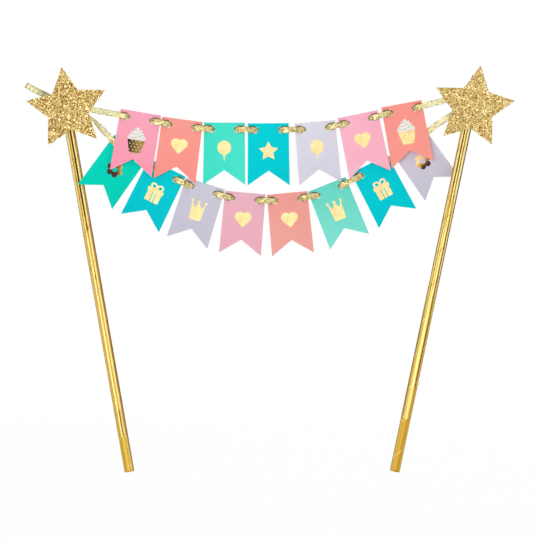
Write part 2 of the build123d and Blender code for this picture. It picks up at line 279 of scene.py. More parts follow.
class StageSettings(bpy.types.PropertyGroup):
    """Camera, light and floor."""

    lens: FloatProperty(name="Lens", description="Focal length of the camera", default=120, unit="CAMERA")
    aim_height: length_property("Aim height", "Height that the level camera looks at", 0.10145)
    aim_side: length_property("Aim side", "Sideways place that the camera looks at", -0.0003)
    distance: length_property("Distance", "From the camera to the middle of the topper", 0.9010)
    surround: share_property("Surround", "Strength of the even white light from all round", 0.44)
    key_power: FloatProperty(name="Key light", description="Power of the large lamp", default=6.0, unit="POWER")
    fill_power: FloatProperty(name="Fill light", description="Power of the side lamp", default=1.2, unit="POWER")
    back_power: FloatProperty(name="Back light", description="Power of the lamp behind", default=3.5, unit="POWER")
    floor_colour: colour_property("Floor", "floor", (0.97, 0.97, 0.97))


class RibbonSettings(bpy.types.PropertyGroup):
    """Two woven metallic ribbons."""

    width: length_property("Width", "Width of the flat ribbon", 0.0029)
    thickness: length_property("Thickness", "Thickness of the weave", 0.00016)
    strips: IntProperty(name="Strips", description="Faces across a ribbon", default=8, min=2)
    swell: share_property("Swell", "Share by which the ribbon spreads over a card", 0.24)
    pinch: share_property("Pinch", "Share by which the ribbon narrows between two cards", 0.12)
    # Outside this pale half width the edges are painted dark, partly as shade
    core: length_property("Core", "Half of the width that stays pale where a card rubs the edges", 0.00148)
    round_end: length_property("Round end", "Length over which the pale part narrows at a hole", 0.0019)
    dip: length_property("Dip", "How far the ribbon stands in front of and behind a card", 0.0018)
    picot: length_property("Picot", "Depth of the loops along the edges", 0.00006)
    gold: colour_property("Gold thread", "metallic thread", (0.92, 0.88, 0.66))
    pale: colour_property("Pale thread", "bright glints", (0.99, 0.97, 0.80))
    # The warm colour is also painted near the cards as bounce light from them
    warm: colour_property("Warm thread", "warmer threads", (0.86, 0.72, 0.44))
    # The shaded colour is also painted near the cards as shade
    shade: colour_property("Shaded thread", "gaps between the threads", (0.60, 0.55, 0.31))
    # The fleck colour also paints the shadow near the stars
    fleck: colour_property("Edge fleck", "dark flecks along the edges", (0.38, 0.35, 0.22))
    # Dark ribbon edges: partly the threads' own dark edges, partly painted shade of the holes and of the ribbon's
    # shadow on the cards
    worn: colour_property("Worn edge", "edges where a card rubs them", (0.34, 0.20, 0.07))


class StarSettings(bpy.types.PropertyGroup):
    """Two stars of glitter card."""

    flake: length_property("Flake", "Radius of a glitter flake", 0.00036)
    pitch: length_property("Pitch", "Distance between glitter flakes", 0.00052)
    tilt: FloatProperty(name="Tilt", description="Most that a flake leans", default=math.radians(26), subtype="ANGLE")
    dark: colour_property("Dark flakes", "darkest flakes", (0.45, 0.32, 0.10))
    gold: colour_property("Gold flakes", "common flakes", (0.77, 0.625, 0.335))
    bright: colour_property("Bright flakes", "brightest flakes", (0.97, 0.91, 0.65))
    backing: colour_property("Backing", "card behind the glitter", (0.93, 0.90, 0.83))


class StickSettings(bpy.types.PropertyGroup):
    """Two paper sticks in gold foil."""

    segments: IntProperty(name="Segments", description="Faces round a stick", default=72, min=12)
    rings: IntProperty(name="Rings", description="Cuts along a stick", default=180, min=10)
    pleat_depth: length_property("Pleat depth", "Depth of the lengthwise creases", 0.00009)
    thickness: length_property("Thickness", "Thickness of the foil", 0.00018)
    # Foil colours for bands of painted reflection and shade, from bright streaks to dark creases
    gold: colour_property("Gold", "smooth foil", (0.84, 0.66, 0.19))
    pale: colour_property("Pale gold", "paler streaks", (0.92, 0.81, 0.45))
    bright: colour_property("Bright gold", "bright streaks", (1.0, 0.96, 0.66))
    deep: colour_property("Deep gold", "deeper streaks", (0.67, 0.46, 0.17))
    crease: colour_property("Crease", "dark creases", (0.18, 0.09, 0.04))
    paper: colour_property("Paper", "rolled core", (0.93, 0.91, 0.86))


class CardSettings(bpy.types.PropertyGroup):
    """Fifteen pennant cards."""

    pink: colour_property("Pink", "pink card", (1.0, 0.675, 0.76))
    coral: colour_property("Coral", "coral card", (1.0, 0.59, 0.545))
    mint: colour_property("Mint", "mint card", (0.28, 0.905, 0.81))
    teal: colour_property("Teal", "teal card", (0.0, 0.80, 0.84))
    lavender: colour_property("Lavender", "lavender card", (0.857, 0.843, 0.903))
    sea_green: colour_property("Sea green", "sea green card", (0.0, 0.83, 0.722))
    lower_pink: colour_property("Faded pink", "lower strand's pink card", (0.94, 0.682, 0.745))
    lower_coral: colour_property("Faded coral", "lower strand's coral card", (0.962, 0.638, 0.60))
    lower_mint: colour_property("Faded mint", "lower strand's mint card", (0.45, 0.878, 0.805))
    lower_lavender: colour_property("Faded lavender", "lower lavender cards", (0.80, 0.788, 0.852))
    warp: FloatProperty(name="Warp", description="How strongly the cards warp", default=1.0, min=0, max=1.5)


class PrintSettings(bpy.types.PropertyGroup):
    """Foil marks and cupcakes."""

    foil: colour_property("Foil", "stamped foil", (0.975, 0.875, 0.63))
    foil_shade: colour_property("Foil shade", "foil's deeper sheen", (0.80, 0.62, 0.26))
    icing: colour_property("Icing", "icing", (0.965, 0.95, 0.93))
    icing_line: colour_property("Icing line", "swirl lines", (0.68, 0.60, 0.42))
    icing_dot: colour_property("Dots", "dots on the aged wrapper", (0.90, 0.84, 0.68))
    # Brighter side of the first upper wrapper, which darkens towards its left
    aged_gold: colour_property("Aged gold", "brighter side of the aged wrapper", (0.58, 0.47, 0.19))
    # Painted dark reflection on two marks, also the darker side of the first upper wrapper
    tarnish: colour_property("Tarnish", "darkened foil", (0.20, 0.11, 0.04))
    glue: colour_property("Glue", "set glue", (0.92, 0.90, 0.84))


class Number:
    """A value from a node. Python sums on it add the Math nodes."""

    def __init__(self, finish, socket):
        self.finish = finish
        self.socket = socket

    def sum(self, operation, *terms):
        return self.finish.node("ShaderNodeMath", {"operation": operation}, dict(enumerate(terms)))

    def fraction(self):
        return self.sum("FRACT", self)

    def odd(self):
        """1 for an odd whole part, 0 for an even one."""
        return self.sum("FLOORED_MODULO", self.sum("FLOOR", self), 2)

    def either(self, other):
        return self.sum("MAXIMUM", self, other)

    def __add__(self, other):
        return self.sum("ADD", self, other)

    def __radd__(self, other):
        return self.sum("ADD", other, self)

    def __sub__(self, other):
        return self.sum("SUBTRACT", self, other)

    def __rsub__(self, other):
        return self.sum("SUBTRACT", other, self)

    def __mul__(self, other):
        return self.sum("MULTIPLY", self, other)

    def __truediv__(self, other):
        return self.sum("DIVIDE", self, other)

    def __abs__(self):
        return self.sum("ABSOLUTE", self)

    def end_at(self, socket):
        """Leads the value to the material's output."""
        self.finish.lead(self, self.finish.tree.nodes["Material Output"].inputs[socket])

    def within(self, low, high):
        """0 below low, 1 above high, smooth between."""
        return self.finish.node(
            "ShaderNodeMapRange",
            {"interpolation_type": "SMOOTHSTEP"},
            {"Value": self, "From Min": low, "From Max": high, "To Min": 0, "To Max": 1},
        )


class Finish:
    """A material whose nodes are added one at a time."""

    def __init__(self, name, metallic=0.0, specular=0.5):
        self.material = bpy.data.materials.new(name)
        self.material.use_nodes = True
        self.tree = self.material.node_tree
        self.shader = self.tree.nodes["Principled BSDF"]
        self.set("Metallic", metallic)
        self.set("Specular IOR Level", specular)

    @classmethod
    def of_world(cls, world):
        """Adds nodes to the world in the same way."""
        finish = cls.__new__(cls)
        finish.tree = world.node_tree
        return finish

    def seen_plainly(self):
        """1 for what the camera sees, straight, in a reflection or through glass."""
        camera, glossy, through = (
            self.node("ShaderNodeLightPath", output=f"Is {kind} Ray") for kind in ("Camera", "Glossy", "Transmission")
        )
        return camera.either(glossy).either(through)

    def node(self, kind, settings=None, sockets=None, output=0):
        """Adds one node: first its settings, then the values or links of its sockets."""
        node = self.tree.nodes.new(kind)
        for key, value in (settings or {}).items():
            if key == "stops":
                ramp = node.color_ramp
                for extra in range(len(value) - 2):
                    ramp.elements.new(0.5)
                for element, (place, colour) in zip(ramp.elements, value):
                    element.position = place
                    element.color = (*srgb(colour), 1)
            else:
                setattr(node, key, value)
        for key, value in (sockets or {}).items():
            self.lead(value, node.inputs[key])
        return Number(self, node.outputs[output])

    def lead(self, value, socket):
        """Links a node's value to a socket, or sets a plain one."""
        if isinstance(value, Number):
            self.tree.links.new(value.socket, socket)
        elif hasattr(value, "__len__") and socket.type == "RGBA":
            socket.default_value = (*srgb(value), 1)
        else:
            socket.default_value = value

    def place(self, start=(0, 0, 0), turn=0.0):
        """The piece's own coordinates from a starting place, turned in the front view."""
        spot = self.node("ShaderNodeTexCoord", output="Object")
        moved = Matrix.Rotation(turn, 3, "Y") @ Vector(start)
        return self.node("ShaderNodeMapping", None, {"Vector": spot, "Location": -moved, "Rotation": (0, turn, 0)})

    def on_card(self, joint, middle):
        """Coordinates along and up a card, from a place on it."""
        return self.place(middle, math.atan2(joint["axis"][2], joint["axis"][0]))

    def on_stick(self, foot, upward):
        """Coordinates across and up a stick, from its foot."""
        return self.place(foot, -lean_of(upward))

    def parts_of(self, vector):
        """The three numbers of a vector."""
        split = self.node("ShaderNodeSeparateXYZ", None, {"Vector": vector}).socket.node
        return [Number(self, output) for output in split.outputs]

    def stretched(self, vector, x, y, z):
        return self.node("ShaderNodeVectorMath", {"operation": "MULTIPLY"}, {0: vector, 1: (x, y, z)})

    def grain(self, vector, scale, detail=2, roughness=0.5):
        """Soft noise from 0 to 1."""
        return self.node(
            "ShaderNodeTexNoise", None,
            {"Vector": vector, "Scale": scale, "Detail": detail, "Roughness": roughness},
        )

    def patches(self, vector, scale):
        """Small patches, each with its own random colour."""
        return self.node("ShaderNodeTexVoronoi", None, {"Vector": vector, "Scale": scale}, output="Color")

    def attribute(self, name):
        """A number that the mesh keeps at each place."""
        return self.node("ShaderNodeAttribute", {"attribute_name": name}, output="Fac")

    def cells(self, vector):
        """One random number for each whole-number cell."""
        whole = self.node("ShaderNodeVectorMath", {"operation": "FLOOR"}, {0: vector})
        return self.node("ShaderNodeTexWhiteNoise", {"noise_dimensions": "3D"}, {"Vector": whole})

    def mixed(self, share, first, second):
        """A colour between two others."""
        return self.node("ShaderNodeMix", {"data_type": "RGBA"}, {0: share, 6: first, 7: second}, output=2)

    def ramp(self, share, stops):
        return self.node("ShaderNodeValToRGB", {"stops": stops}, {"Fac": share})

    def levels(self, share, stops):
        """A number that follows a list of places and levels."""
        greys = [(place, Color((level,) * 3).from_scene_linear_to_srgb()) for place, level in stops]
        return self.parts_of(self.ramp(share, greys))[0]

    def set(self, socket, value):
        self.lead(value, self.shader.inputs[socket])

    def done(self, colour, roughness, height, depth, strength=1.0):
        """Leads the colour, the roughness and the bump to the shader."""
        self.set("Base Color", colour)
        self.set("Roughness", roughness)
        sockets = {"Height": height, "Distance": depth, "Strength": strength}
        self.set("Normal", self.node("ShaderNodeBump", None, sockets))
        return self


def dress(node, finish):
    """Gives a solid of the frame its finish."""
    mesh = frame["nodes"][node].data
    mesh.materials.clear()
    mesh.materials.append(finish.material)


def put(name, data):
    """Links a new object to the scene."""
    thing = bpy.data.objects.new(name, data)
    bpy.context.scene.collection.objects.link(thing)
    return thing


def mesh_object(name, shape, finish):
    """Turns a finished bmesh into an object."""
    mesh = bpy.data.meshes.new(name)
    shape.to_mesh(mesh)
    shape.free()
    mesh.materials.append(finish.material)
    return put(name, mesh)


def add_piece(name, shape, finish, body, slot, smooth_degrees=0):
    """Turns a finished bmesh into a piece that rides on a body, smooth up to an angle between its faces."""
    piece = mesh_object(name, shape, finish)
    if smooth_degrees:
        piece.data.polygons.foreach_set("use_smooth", [True] * len(piece.data.polygons))
        piece.data.set_sharp_from_angle(angle=math.radians(smooth_degrees))
    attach(piece, body)
    return piece


def thicken(piece, name, thickness, offset):
    """Gives a piece a wall."""
    wall = piece.modifiers.new(name, "SOLIDIFY")
    wall.thickness = thickness
    wall.offset = offset


def corner_places(node):
    """The separate corners of a solid of the frame."""
    vertices = frame["nodes"][node].data.vertices
    return list({tuple(round(value, 7) for value in vertex.co): vertex.co for vertex in vertices}.values())


def middle_of(node):
    corners = corner_places(node)
    return sum(corners, Vector()) / len(corners)


def slot_of(node):
    return next(entry["material_slot"] for entry in frame["record"]["subparts"] if entry["node"] == node)


# Stage

def floor_finish(settings):
    """A white floor that glows for the camera and so fades into the backdrop."""
    finish = Finish("floor")
    finish.set("Base Color", settings.floor_colour)
    finish.set("Roughness", 0.7)
    across, back, _ = finish.parts_of(finish.place())
    away = (across * across + back * back).within(0.03, 0.3)
    glow = finish.node("ShaderNodeEmission", None, {"Color": (1, 1, 1), "Strength": 1.0})
    finish.node("ShaderNodeMixShader", None, {
        0: finish.seen_plainly() * (0.98 + away * 0.02), 1: Number(finish, finish.shader.outputs[0]), 2: glow,
    }).end_at("Surface")
    return finish


def make_stage(settings):
    """A level camera, even light and a white floor."""
    scene = bpy.context.scene
    scene.view_settings.view_transform = "Standard"
    camera = put("camera", bpy.data.cameras.new("camera"))
    camera.data.lens = settings.lens
    camera.data.clip_start = 0.01
    camera.location = (settings.aim_side, -settings.distance, settings.aim_height)
    camera.rotation_euler = (math.pi / 2, 0, 0)
    scene.camera = camera

    for name, spot, size, power in (
        ("key_light", Vector((-0.16, -1.08, 0.10)), 0.4, settings.key_power),
        ("fill_light", Vector((0.75, -0.80, 0.55)), 0.8, settings.fill_power),
        ("back_light", Vector((0.20, 1.10, 0.30)), 0.6, settings.back_power),
    ):
        lamp = put(name, bpy.data.lights.new(name, "AREA"))
        lamp.data.size = size
        lamp.data.energy = power
        lamp.location = spot
        lamp.rotation_euler = (LAMP_AIM - spot).to_track_quat("-Z", "Y").to_euler()

    world = bpy.data.worlds.new("white_surround")
    world.use_nodes = True
    scene.world = world
    surround = Finish.of_world(world)
    backdrop = world.node_tree.nodes["Background"]
    surround.lead((1, 1, 1), backdrop.inputs["Color"])
    strength = settings.surround + surround.seen_plainly() * (1 - settings.surround)
    surround.lead(strength, backdrop.inputs["Strength"])

    shape = bmesh.new()
    bmesh.ops.create_grid(
        shape, x_segments=2, y_segments=2, size=FLOOR_HALF_WIDTH, matrix=Matrix.Translation((0, 0, -FLOOR_DROP))
    )
    floor = mesh_object("floor", shape, floor_finish(settings))


# Ribbons

def strand_holes(strand):
    """The left and right hole of each card on a strand."""
    holes = []
    for joint in frame["joints"]:
        if joint["name"].startswith(strand):
            half = Vector(joint["axis"]) * HOLE_SPACING / 2
            holes.append((Vector(joint["pos_m"]) - half, Vector(joint["pos_m"]) + half))
    return holes


def front_heading(start, end):
    """Direction between two places, seen from the front."""
    return Vector((end.x - start.x, 0, end.z - start.z)).normalized()


def front_distance(start, end):
    """Distance between two places, seen from the front."""
    return math.hypot(start.x - end.x, start.z - end.z)


def tucked_points(side, shares):
    """Ribbon points in the layer behind a star."""
    star = middle_of(f"{side}_star")
    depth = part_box(f"{side}_star")[1].y + RIBBON_LAYER / 2
    return [Vector((star.x + across * STAR_RADIUS, depth, star.z + up * STAR_RADIUS)) for across, up in shares]


def woven_points(holes, lead_in, lead_out, dip):
    """Points of a ribbon that runs in front of the gaps and behind each card."""
    front = Vector((0, -dip, 0))
    points = list(lead_in)
    first, last = holes[0][0], holes[-1][1]
    points.append(first - front_heading(lead_in[-1], first) * PAST_CARD + front)
    for left, right in holes:
        along = front_heading(left, right)
        for dive, side in ((left + along * DIVE_INWARD, front), (right - along * DIVE_INWARD, -front)):
            points += [dive - along * DIVE_RUN + side, dive + along * DIVE_RUN - side]
    points.append(last + front_heading(last, lead_out[0]) * PAST_CARD + front)
    return points + list(lead_out)


def smooth_line(points):
    """Places along the smooth curve that the points control."""
    curve = bpy.data.curves.new("route", "CURVE")
    curve.dimensions = "3D"
    curve.resolution_u = 16
    spline = curve.splines.new("NURBS")
    spline.points.add(len(points) - 1)
    for control, point in zip(spline.points, points):
        control.co = (*point, 1)
    spline.order_u = 3
    spline.use_endpoint_u = True
    holder = put("route", curve)
    bpy.context.view_layer.update()
    mesh = bpy.data.meshes.new_from_object(holder)
    line = [vertex.co.copy() for vertex in mesh.vertices]
    bpy.data.objects.remove(holder)
    bpy.data.curves.remove(curve)
    bpy.data.meshes.remove(mesh)
    return line


def neck_at(inward):
    """The ribbon's greatest half width at a distance past the middle of a hole, towards the card's middle."""
    for (start, wide), (end, narrow) in zip(RIBBON_NECK, RIBBON_NECK[1:]):
        if inward < end:
            return wide + (narrow - wide) * max(inward - start, 0.0) / (end - start)
    return RIBBON_NECK[-1][1]


def edgewise_share(travel):
    """How far the lower ribbon stands on edge at a distance along it."""
    (rise_start, rise_length), (fall_end, fall_length) = EDGEWISE_RISE, EDGEWISE_FALL
    return clamped((travel - rise_start) / rise_length) * clamped((fall_end - travel) / fall_length)


def star_shadow_at(travel, whole, star_shadows):
    """How darkly shadow near the stars is painted on a ribbon at a distance along it."""
    places = [(strength, place if place > 0 else whole + place, reach) for strength, place, reach in star_shadows]
    return sum(strength * bell(travel - place, reach) for strength, place, reach in places)


def ribbon_shape(line, holes, settings, edge_turn, tail_shadow, star_shadows):
    """A flat strip along a line, spread over the cards and gathered in the holes, with looped edges."""
    travel = [0.0]
    for start, end in zip(line, line[1:]):
        travel.append(travel[-1] + (end - start).length)
    towards = [(left, front_heading(left, right)) for left, right in holes]
    towards += [(right, front_heading(right, left)) for left, right in holes]

    def travel_at(place):
        return travel[min(range(len(line)), key=lambda index: (line[index] - place).length)]

    dives = sorted(travel_at(hole + inward * DIVE_INWARD) for hole, inward in towards)
    runs_behind = list(zip(dives[::2], dives[1::2]))
    shape = bmesh.new()
    bmesh.ops.create_grid(shape, x_segments=len(line) - 1, y_segments=settings.strips, size=1)
    uv = shape.loops.layers.uv.new("weave")
    layers = {name: shape.verts.layers.float.new(name) for name in ("rubbed", "soaked", "core")}
    spots = {}
    for vertex in shape.verts:
        index = round((vertex.co.x + 1) / 2 * (len(line) - 1))
        share = vertex.co.y
        here, gone = line[index], travel[index]
        along = (line[min(index + 1, len(line) - 1)] - line[max(index - 1, 0)]).normalized()
        turn = Matrix.Rotation(edge_turn * edgewise_share(gone), 3, along)
        across = turn @ Vector((-along.z, 0, along.x)).normalized()
        facing = along.cross(across)
        hole, inward = min(towards, key=lambda pair: front_distance(here, pair[0]))
        nearest = front_distance(here, hole)
        past = (here - hole).dot(inward)
        behind = any(low < gone < high for low, high in runs_behind)
        over_card = math.exp(-((nearest / SWELL_REACH) ** 4))
        between_cards = runs_behind[0][1] < gone < runs_behind[-1][0] and not behind
        pinched = bell(nearest - PINCH_PLACE, PINCH_REACH) if between_cards else 0.0
        half = settings.width / 2 * (1 + settings.swell * over_card - settings.pinch * pinched)
        half += settings.picot * math.sin(gone / PICOT_STEP * math.pi) * abs(share)
        half = min(half, neck_at(past))
        cup = CUP_DEPTH * (share * share - CUP_LEVEL)
        round_share = 1 - clamped((CORE_END - past) / settings.round_end)
        widen_from, widened = CORE_BEHIND if behind else CORE_IN_FRONT
        core = min(settings.core * math.sqrt(1 - round_share ** 2), neck_at(past) - CORE_INSET)
        vertex[layers["core"]] = core + widened * clamped((nearest - widen_from) / CORE_STEP)
        # Where painted shade and warm bounce light fall on the ribbon near the cards
        vertex[layers["rubbed"]] = 1.0 if between_cards else over_card
        # Painted shadow where the ribbon runs near the stars
        vertex[layers["soaked"]] = tail_shadow * (gone < TAIL_LENGTH) + star_shadow_at(gone, travel[-1], star_shadows)
        spots[vertex] = (gone, share * half)
        vertex.co = here + across * (share * half) - facing * cup
    for face in shape.faces:
        for loop in face.loops:
            loop[uv].uv = spots[loop.vert]
    bmesh.ops.recalc_face_normals(shape, faces=shape.faces)
    return shape, travel[-1]


def ribbon_finish(settings):
    """Pale gold weave: bright, warm and shaded threads, dark flecks, and dark edges partly of painted shade."""
    finish = Finish("woven_metallic_ribbon", 0.2, 0.2)
    spot = finish.node("ShaderNodeUVMap", {"uv_map": "weave"})
    rubbed, soaked, core = (finish.attribute(name) for name in ("rubbed", "soaked", "core"))
    _, across, _ = finish.parts_of(spot)
    frayed = finish.node("ShaderNodeTexNoise", None, {"Vector": spot, "Scale": 2200, "Detail": 2}, output="Color")
    frayed = finish.node(
        "ShaderNodeVectorMath", {"operation": "MULTIPLY_ADD"}, {0: frayed, 1: (0.0011, 0.0011, 0), 2: spot}
    )
    thread, tint, _ = finish.parts_of(finish.patches(frayed, 1350))
    glint = finish.grain(spot, 2400, 2, 0.6)
    # Near the cards the weave's tone is painted darker as shade
    tone = thread * 0.55 + glint * 0.55 + 0.10 - rubbed * 0.17
    base = finish.ramp(tone, [
        (0.14, settings.fleck), (0.30, settings.shade), (0.48, settings.gold), (0.70, settings.gold),
        (0.92, settings.pale),
    ])
    # Warm threads at random, and near the cards a painted warm bounce light from them
    base = finish.mixed(tint.within(0.55, 0.9) * (0.10 + rubbed * 0.75), base, settings.warm)
    # Painted shade near the cards
    base = finish.mixed(rubbed * 0.14, base, settings.shade)
    rim = (abs(across) / settings.width).within(0.30, 0.44)
    fleck = finish.cells(finish.stretched(spot, 900, 500, 1)).within(0.58, 0.72)
    base = finish.mixed(rim * fleck * (0.8 - rubbed * 0.5), base, settings.fleck)
    ragged = (finish.grain(spot, 1300, 2) - 0.5) * 0.0005
    # Dark edges outside the pale core: partly the threads' own dark edges, partly painted shade of the holes and of
    # the ribbon on the cards, painted darker at the upper edge
    worn = (abs(across + 0.00025) + ragged - core).within(-0.0001, 0.00016)
    base = finish.mixed(worn * (0.8 + across * 110), base, settings.worn)
    # Painted shadow near and under the stars
    base = finish.mixed(soaked * 0.7, base, settings.fleck)
    return finish.done(base, 0.5 - thread * 0.2, thread * 0.5 + glint * 0.5, 0.00005)


def make_ribbons(settings):
    """Both ribbons, each one unbroken length from star to star."""
    finish = ribbon_finish(settings)
    upper_tail, upper_end = tucked_points("left", UPPER_TAIL_SHARES), tucked_points("right", UPPER_END_SHARES)
    lower_start, lower_end = tucked_points("left", LOWER_START_SHARES), tucked_points("right", LOWER_END_SHARES)
    for point in lower_start[2:]:
        point.y += EDGEWISE_ROOM
    for strand, lead_in, lead_out, exit_point, far_end, edge_turn, tail_shadow, star_shadows in (
        ("upper", upper_tail, upper_end, upper_end[0], "bare", 0.0, TAIL_SHADOW, UPPER_STAR_SHADOWS),
        ("lower", lower_start, lower_end, lower_start[-1], "object", EDGEWISE_TURN, 0.0, LOWER_STAR_SHADOWS),
    ):
        holes = strand_holes(strand)
        line = smooth_line(woven_points(holes, lead_in, lead_out, settings.dip))
        shape, measured = ribbon_shape(line, holes, settings, edge_turn, tail_shadow, star_shadows)
        piece = add_piece(f"{strand}_ribbon_weave", shape, finish, "stick_frame", "metallic_ribbon", 60)
        thicken(piece, "weave_thickness", settings.thickness, 0)
        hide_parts(f"{strand}_ribbon")


# Stars

def star_tilt(side, centre):
    """Turn of the star's upper tip from upright."""
    tip = max(corner_places(f"{side}_star"), key=lambda corner: corner.z)
    return lean_of(tip - centre)


def star_margin(x, z, tilt):
    """Distance of a place inside the star's outline, negative outside."""
    half_step = math.pi / STAR_TIP_COUNT
    turn = (math.atan2(x, z) - tilt) % (2 * half_step)
    turn = min(turn, 2 * half_step - turn)
    radius = math.hypot(x, z)
    tip = Vector((0, STAR_RADIUS))
    corner = Vector((math.sin(half_step), math.cos(half_step))) * STAR_INNER_RADIUS
    edge = (corner - tip).normalized()
    spot = Vector((math.sin(turn), math.cos(turn))) * radius - tip
    return edge.x * -spot.y + edge.y * spot.x


def glitter_finish(settings):
    """Foil flakes, each with its own brightness."""
    finish = Finish("gold_glitter_flakes", 0.35, 0.3)
    glint = finish.attribute("glint")
    finish.set("Base Color", finish.ramp(glint, [
        (0.10, settings.dark), (0.30, settings.gold), (0.62, settings.gold), (0.92, settings.bright),
    ]))
    finish.set("Roughness", 0.55 - glint * 0.2)
    return finish


def star_card_finish(settings, front):
    """Glitter card: a bed of flakes in front and plain card behind."""
    finish = Finish("gold_glitter_card", 0.3)
    spot = finish.place()
    _, depth, _ = finish.parts_of(spot)
    bed, _, _ = finish.parts_of(finish.patches(spot, 1500))
    gold = finish.ramp(bed, [
        (0.0, settings.dark), (0.35, settings.gold), (0.7, settings.gold), (1.0, settings.bright),
    ])
    paper = finish.mixed(finish.grain(spot, 900, 4), settings.backing, (0.86, 0.82, 0.74))
    base = finish.mixed((depth - front).within(*STAR_BACK), gold, paper)
    return finish.done(base, 0.45 + finish.grain(spot, 600) * 0.2, bed, 0.00005)


def make_stars(settings):
    """A coat of glitter flakes on each star."""
    flakes = glitter_finish(settings)
    facing = Matrix.Rotation(math.pi / 2, 4, "X")
    steps = math.ceil(STAR_RADIUS / settings.pitch)
    # The right star's flakes are painted brighter, as a painted highlight
    for side, dullness in STAR_DULLNESS.items():
        node = f"{side}_star"
        centre = middle_of(node)
        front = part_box(node)[0].y
        tilt = star_tilt(side, centre)
        dress(node, star_card_finish(settings, front))
        chance = random.Random(f"{side} star glitter")
        shape = bmesh.new()
        glint = shape.faces.layers.float.new("glint")
        for row in range(-steps, steps + 1):
            for column in range(-steps, steps + 1):
                x = (column + row % 2 / 2 + chance.uniform(-FLAKE_JITTER, FLAKE_JITTER)) * settings.pitch
                z = (row * FLAKE_ROW + chance.uniform(-FLAKE_JITTER, FLAKE_JITTER)) * settings.pitch
                if star_margin(x, z, tilt) < chance.uniform(*FLAKE_MARGINS):
                    continue
                spin = Matrix.Rotation(chance.uniform(0, math.pi), 4, "Z")
                lean = Matrix.Rotation(chance.uniform(-settings.tilt, settings.tilt), 4, "X")
                spot = Matrix.Translation((centre.x + x, front - chance.uniform(*FLAKE_LIFTS), centre.z + z))
                made = bmesh.ops.create_circle(
                    shape, cap_ends=True, segments=FLAKE_SIDES, radius=settings.flake * chance.uniform(*FLAKE_SIZES),
                    matrix=spot @ facing @ spin @ lean,
                )
                made["verts"][0].link_faces[0][glint] = chance.random() ** dullness
        add_piece(f"{side}_star_glitter", shape, flakes, "stick_frame", "gold_glitter_card")


# Sticks

def stick_frame_of(side):
    """Foot, upward direction, length and radius of a stick."""
    mount = next(m for m in frame["record"]["mounts"] if m["name"] == f"{side}_stick_foot")
    upward = -Vector(mount["axis"]).normalized()
    foot = Vector(mount["pos_m"]) - upward * FOOT_MIDDLE
    length = max((corner - foot).dot(upward) for corner in corner_places(f"{side}_stick_foil_wrap"))
    return foot, upward, length, mount["dims"]["r_mm"] / 1000


def stick_finish(name, settings, foot, upward, rows, seam_start, seed):
    """Gold foil with lengthwise streaks of painted reflection and shade, wound round the stick with a slanting seam
    at each turn.
    """
    finish = Finish(name, 0.3, 0.25)
    spot = finish.on_stick(foot, upward)
    right, back, along = finish.parts_of(spot)
    shifted = finish.node("ShaderNodeVectorMath", {"operation": "ADD"}, {0: spot, 1: (seed, 0, 0)})
    drift = finish.grain(finish.stretched(shifted, 0, 0, 1), 40, 2) - 0.5
    share = right.sum("ARCTAN2", right, back * -1) / (2 * math.pi)
    tone = None
    for low, high, tones in rows:
        whole_turn = HIDDEN_LEFT | tones | HIDDEN_RIGHT
        stops = [(0.5 + degrees / 360, tone_there / 100) for degrees, tone_there in whole_turn.items()]
        row = finish.levels(share + 0.5 + drift * 0.03, stops)
        tone = row if tone is None else tone + (row - tone) * along.within(low, high)
    streak = finish.grain(finish.stretched(shifted, 1, 1, 0.004), 2600, 2, 0.6)
    dash = finish.grain(finish.stretched(shifted, 1, 1, 0.22), 900, 2).within(0.56, 0.68)
    from_seam = 0.5 - abs(((along - seam_start) / FOIL_TURN - share).fraction() - 0.5)
    seam = (1 - from_seam.within(0.008, 0.022)) * finish.grain(shifted, 900, 1).within(0.38, 0.55)
    broken = along.within(*BROKEN_FOIL)
    # Painted reflection streaks and dashes, and a seam painted bright low on the stick and dark higher up
    tone = tone + (streak - 0.5) * 0.20 - dash * 0.16 * broken + seam * (0.30 - broken * 0.62)
    base = finish.ramp(tone, [
        (0.04, settings.crease), (0.24, settings.deep), (0.43, settings.gold), (0.64, settings.pale),
        (0.90, settings.bright),
    ])
    return finish.done(base, 0.42 + finish.grain(spot, 1500) * 0.14, tone, 0.00003)


def paper_roll_finish(settings, foot, upward, name):
    """Rolled white paper, with its turns on the cut ends."""
    finish = Finish(name)
    spot = finish.on_stick(foot, upward)
    turns = finish.node(
        "ShaderNodeTexWave", {"wave_type": "RINGS", "rings_direction": "Z"},
        {"Vector": spot, "Scale": 1400, "Distortion": 1.2}, output="Fac",
    )
    base = finish.mixed(turns * 0.6, settings.paper, (0.70, 0.66, 0.58))
    base = finish.mixed(finish.grain(spot, 1200) * 0.3, base, (0.80, 0.77, 0.70))
    return finish.done(base, 0.75, turns, 0.00004)


def foil_noise(out, along, cells, seed):
    """Seeded noise round and along a stick."""
    cells_round, cells_along = cells
    return noise.noise(Vector((out.x * cells_round, out.y * cells_round, along * cells_along + seed)))


def foil_depth(out, along, length, seed, pleat_depth):
    """How deep the foil lies at a place: long creases above the foot, fine crumples and rounded ends."""
    crease = max(0.0, 1 - abs(foil_noise(out, along, CREASE_CELLS, seed)) / CREASE_WIDTH)
    crumple = abs(foil_noise(out, along, CRUMPLE_CELLS, seed))
    grown = clamped((along - SMOOTH_FOOT) / CREASE_GROWTH)
    end = min(along, length - along)
    return pleat_depth * (crease * grown + CRUMPLE_SHARE * crumple) + END_DEPTH * max(0.0, 1 - end / END_LENGTH) ** 2


